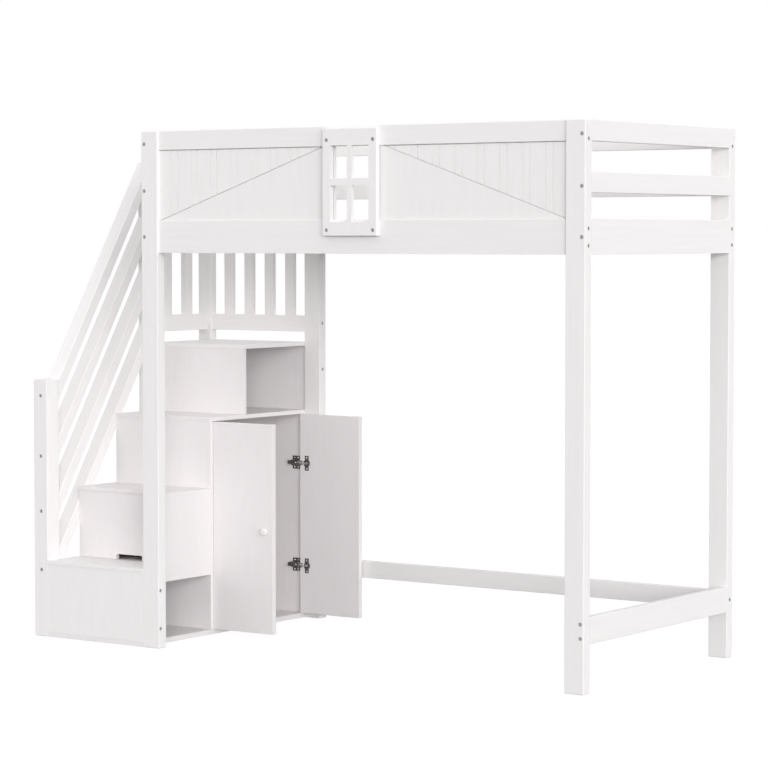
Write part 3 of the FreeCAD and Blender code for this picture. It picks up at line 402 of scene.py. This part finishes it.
metals = {
    "bolt_nickel": metal_finish("nickel_plate", clean=(0.42, 0.415, 0.415), dull=(0.33, 0.325, 0.325),
                                roughness=(0.25, 0.42), relief=0.25),
    "zinc_nut": metal_finish("zinc_plate", clean=(0.62, 0.63, 0.64), dull=(0.45, 0.46, 0.47),
                             roughness=(0.25, 0.45), relief=0.25),
    "hinge_nickel": metal_finish("dull_nickel", clean=(0.17, 0.16, 0.16), dull=(0.3, 0.29, 0.29),
                                 roughness=(0.2, 0.38), relief=0.15),
}
bright_metal = metal_finish("bright_nickel", clean=(0.86, 0.86, 0.86), dull=(0.72, 0.72, 0.72),
                            roughness=(0.12, 0.3), relief=0.15)
print("metals:", sorted(metals), "and", bright_metal.name)

# %% [markdown]
# The knobs are turned wood under a thick gloss lacquer. A low roughness alone would lose the satin paint
# below, so they take the bed's white with hardly any grain, and a clear coat lies over it.

# %% Knob lacquer
KNOB_LOOK = {"streaks": 60.0, "stretch": 6.0, "relief": 0.05, "tint": 0.3}
KNOB_COAT = 0.4
KNOB_COAT_ROUGHNESS = 0.12

knob_finish = painted_finish("knob_lacquer", GRAIN_TURN["y"], KNOB_LOOK)
knob_shader = knob_finish.node_tree.nodes["Principled BSDF"].inputs
knob_shader["Coat Weight"].default_value = KNOB_COAT
knob_shader["Coat Roughness"].default_value = KNOB_COAT_ROUGHNESS
print("knob coat", KNOB_COAT)

# %% [markdown]
# The hinges are dark, but their screws and links catch the light. The arms sit on the two walls of the
# cabinet and the plates on the doors, and both doors have theirs at the same two levels. The boxes of these
# nodes give all the places, so the small pieces stay on the hinges when the frame changes.

# %% Places of the hinges
ARM_LENGTH, ARM_DEPTH, FOOT_THICKNESS = 0.058, 0.014, 0.003
PLATE_HALF, FLANGE_HALF = 0.031, 0.0155

arms_low, arms_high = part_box("hinge_arms")
plates_low, plates_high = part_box("front_hinge_plates")
back_plates_low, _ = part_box("back_hinge_plates")
arm_front = arms_low[0] + ARM_LENGTH
plate_middle = plates_high[0] - FLANGE_HALF
hinge_levels = (plates_low[2] + PLATE_HALF, plates_high[2] - PLATE_HALF)
# Each wall and each door's face is its place in Y and the way it faces, +1 or -1.
cabinet_walls = ((arms_low[1], 1.0), (arms_high[1], -1.0))
door_faces = {"front": (plates_high[1], 1.0), "back": (back_plates_low[1], -1.0)}
print("hinge levels:", hinge_levels)

# %% [markdown]
# Screws and links are round or bar shaped, so one helper skins them all: it takes a stack of rings with the
# same count of points, joins each ring to the next with four-sided faces, and closes both ends with a fan.
# Copies share the faces and differ only in where they lie.

# %% Skin for stacked rings
def skin_rings(name, copies, body):
    """A mesh from an array of copies, rings, points and XYZ.

    A face joins a point and the next on its ring to the same two on the ring after. A fan joins each end ring
    to its middle, which is the mean of its points.
    """
    count, rings, points, _ = copies.shape
    ends = copies[:, [0, -1]].mean(axis=2)
    corners = np.concatenate([copies.reshape(count, -1, 3), ends], axis=1)
    step = np.arange(points)
    after = (step + 1) % points
    ring_start = np.arange(rings - 1)[:, None] * points
    low, over = ring_start + step, ring_start + after
    walls = np.stack([low, over, over + points, low + points], axis=-1).reshape(-1, 4)
    top = (rings - 1) * points
    first_middle = rings * points
    first = np.stack([after, step, np.full(points, first_middle)], axis=1)
    last = np.stack([top + step, top + after, np.full(points, first_middle + 1)], axis=1)
    faces = []
    for number in range(count):
        shift = number * corners.shape[1]
        faces += (walls + shift).tolist() + (first + shift).tolist() + (last + shift).tolist()
    mesh = bpy.data.meshes.new(name)
    mesh.from_pydata(corners.reshape(-1, 3).tolist(), [], faces)
    mesh.polygons.foreach_set("use_smooth", np.ones(len(mesh.polygons), dtype=bool))
    mesh.materials.append(bright_metal)
    piece = bpy.data.objects.new(name, mesh)
    bpy.context.collection.objects.link(piece)
    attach(piece, body)
    print(name, "copies:", count, "faces:", len(faces))


def on_both_walls(shape):
    """Copies of a shape on the two walls of the cabinet."""
    return np.concatenate([shape(wall, outward) for wall, outward in cabinet_walls])


# %% [markdown]
# A screw head is a dome with a cross pressed into it. Seen from above it is a round grid: the height falls
# like an ellipse from the middle to the rim, and dips by a fixed depth wherever a point is close to one of
# the two lines of the cross. Each hinge arm has four screws in its tall foot and one in the arm; each plate
# has two.

# %% Screw heads
HEAD_RADIUS = 0.0034
HEAD_RISE = 0.0016
HEAD_SINK = 0.0002
HEAD_RINGS, HEAD_POINTS = 18, 48
HEAD_FIRST_RING = 0.08
DOME_FALL = 0.94
CROSS_HALF = 0.00055
CROSS_REACH = 0.0021
CROSS_DEPTH = 0.0008
CROSS_EDGE = 0.0003
FOOT_SCREW_BACK = (0.01, 0.027)
FOOT_SCREW_RISE = 0.0195
ARM_SCREW_BACK = 0.015
PLATE_SCREW_RISE = 0.023


def screw_grid():
    """One head as rings of (across, along the axis, up): dome with its cross, rim and flat underside.

    The dome is its rise times the root of one less a fall times the squared share of the radius. The cross
    dips where the smaller of across and up is within its half width and the larger within its reach.
    """
    share = np.linspace(HEAD_FIRST_RING, 1.0, HEAD_RINGS)[:, None]
    turn = np.linspace(0.0, 2.0 * np.pi, HEAD_POINTS, endpoint=False)
    across = HEAD_RADIUS * share * np.cos(turn)
    up = HEAD_RADIUS * share * np.sin(turn)
    dome = HEAD_RISE * np.sqrt(1.0 - DOME_FALL * share ** 2) * np.ones_like(turn)
    near = np.minimum(np.abs(across), np.abs(up))
    far = np.maximum(np.abs(across), np.abs(up))
    beside = np.clip((CROSS_HALF - near) / CROSS_EDGE + 0.5, 0.0, 1.0)
    within = np.clip((CROSS_REACH - far) / CROSS_EDGE, 0.0, 1.0)
    top = np.stack([across, dome - CROSS_DEPTH * beside * within, up], axis=-1)
    rim = np.stack([across[-1], np.full_like(turn, -HEAD_SINK), up[-1]], axis=-1)[None]
    return np.concatenate([top, rim])


def heads_at(places, outward):
    """Copies of the head at places, its axis along Y and pointing outward, +1 or -1."""
    grid = screw_grid() * np.array([1.0, outward, 1.0])
    return np.asarray(places)[:, None, None, :] + grid


def arm_screws(wall, outward):
    """Heads of the five screws in each of the two arms on one wall."""
    places = []
    for level in hinge_levels:
        for rise in (FOOT_SCREW_RISE, -FOOT_SCREW_RISE):
            for back in FOOT_SCREW_BACK:
                places.append((arm_front - back, wall + outward * FOOT_THICKNESS, level + rise))
        places.append((arm_front - ARM_SCREW_BACK, wall + outward * ARM_DEPTH, level))
    return heads_at(places, outward)


def plate_screws(face, outward):
    """Heads of the two screws in each of the two plates on one door."""
    rises = (PLATE_SCREW_RISE, -PLATE_SCREW_RISE)
    places = [(plate_middle, face, level + rise) for level in hinge_levels for rise in rises]
    return heads_at(places, outward)


skin_rings("arm_screws", on_both_walls(arm_screws), "bed")
for side, (face, outward) in door_faces.items():
    skin_rings(f"{side}_plate_screws", plate_screws(face, outward), f"{side}_door")

# %% [markdown]
# Between arm and plate shows one bright link. It has two halves here, because the door swings away from the
# arm: a skin on the arm's thin link, and a strap that climbs from the door's face onto the round flange. Both
# are bars whose section is a flat superellipse, drawn in at the ends.

# %% Bright links
BAR_POINTS = 32
TAPER_DEPTH, TAPER_POWER = 0.9, 8
LINK_STAND = 0.0058
LINK_HALF_THICK = 0.0013
LINK_LEAD, LINK_TAIL = 0.0006, 0.0035
SKIN_RINGS = 24
SKIN_LIFT = 0.0002
SKIN_HALF_THICK, SKIN_HALF_TALL = 0.0003, 0.0052
FLANGE_RISE = 0.002
STRAP_RINGS = 40
STRAP_START, STRAP_END = 0.0045, 0.0205
STRAP_LIFT = 0.0004
STRAP_HALF_THICK, STRAP_HALF_TALL = 0.00035, 0.0048
CLIMB_START, CLIMB_LENGTH = 0.002, 0.0025


def bar_rings(path, half_thick, half_tall):
    """Rings along a path: |y/thick| to the fourth plus |z/tall| to the fourth is one, thinned at both ends."""
    turn = np.linspace(0.0, 2.0 * np.pi, BAR_POINTS, endpoint=False)
    run = np.linspace(-1.0, 1.0, len(path))
    taper = np.sqrt(1.0 - TAPER_DEPTH * run ** TAPER_POWER)[:, None]
    flat = np.sign(np.cos(turn)) * np.sqrt(np.abs(np.cos(turn))) * half_thick * taper
    tall = np.sign(np.sin(turn)) * np.sqrt(np.abs(np.sin(turn))) * half_tall * taper
    return path[:, None, :] + np.stack([np.zeros_like(flat), flat, tall], axis=-1)


def bars_at_levels(along, aside, half_thick, half_tall):
    """A bar at each hinge level, on a path with its places along X and aside in Y."""
    paths = [np.stack(np.broadcast_arrays(along, aside, level), axis=1) for level in hinge_levels]
    return np.stack([bar_rings(path, half_thick, half_tall) for path in paths])


def link_skins(wall, outward):
    """The bright side of the thin links on one wall: straight bars, a little proud of the links."""
    along = np.linspace(arm_front + LINK_LEAD, arms_high[0] - LINK_TAIL, SKIN_RINGS)
    aside = wall + outward * (LINK_STAND + LINK_HALF_THICK + SKIN_LIFT)
    return bars_at_levels(along, aside, SKIN_HALF_THICK, SKIN_HALF_TALL)


def door_straps(face, outward):
    """Straps from the door's face up onto the flange of each plate.

    The climb is three times the square less twice the cube of a share that goes from 0 to 1.
    """
    flange_edge = plate_middle - FLANGE_HALF
    along = np.linspace(flange_edge - STRAP_START, flange_edge + STRAP_END, STRAP_RINGS)
    share = np.clip((along - along[0] - CLIMB_START) / CLIMB_LENGTH, 0.0, 1.0)
    climb = share * share * (3.0 - 2.0 * share)
    aside = face + outward * (FLANGE_RISE * (climb - 1.0) + STRAP_LIFT)
    return bars_at_levels(along, aside, STRAP_HALF_THICK, STRAP_HALF_TALL)


skin_rings("link_skins", on_both_walls(link_skins), "bed")
for side, (face, outward) in door_faces.items():
    skin_rings(f"{side}_door_straps", door_straps(face, outward), f"{side}_door")

# %% [markdown]
# Now each node gets its finish. Its slot in the record says what it is made of. Timber also asks which way its
# stick runs: the longest side of its box tells that, except for sets of several sticks, which are named here.
# A board is taken as upright or flat from its height.

# %% Dress the nodes
UPRIGHT_HEIGHT = 0.1
SET_DIRECTION = {"side_guard_rails": "y", "back_guard_rails": "x", "slat_ledgers": "x",
                 "handrail_bars": "slope", "guard_slats": "z", "bed_slats": "y"}


def stick_direction(node):
    """The axis of the longest side of a node's box, unless the node is a set with a direction of its own."""
    if node in SET_DIRECTION:
        return SET_DIRECTION[node]
    low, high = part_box(node)
    sides = np.subtract(high, low)
    return "xyz"[int(np.argmax(sides))]


def finish_for(node):
    """Pick the finish that suits a node's slot and direction."""
    slot = slot_of[node]
    if slot == "painted_timber":
        return timber_finish[stick_direction(node)]
    if slot == "painted_board":
        low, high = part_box(node)
        # Stair boards other than the bed-white ones take the darker copy, which paints their shade.
        boards = bed_board if node in BED_WHITE else shaded_stair_board
        return boards["z" if high[2] - low[2] > UPRIGHT_HEIGHT else "x"]
    if slot == "knob_lacquer":
        return knob_finish
    return metals[slot]


for node, solid in frame["nodes"].items():
    solid.data.materials.clear()
    solid.data.materials.append(finish_for(node))
print("dressed", len(frame["nodes"]), "nodes")
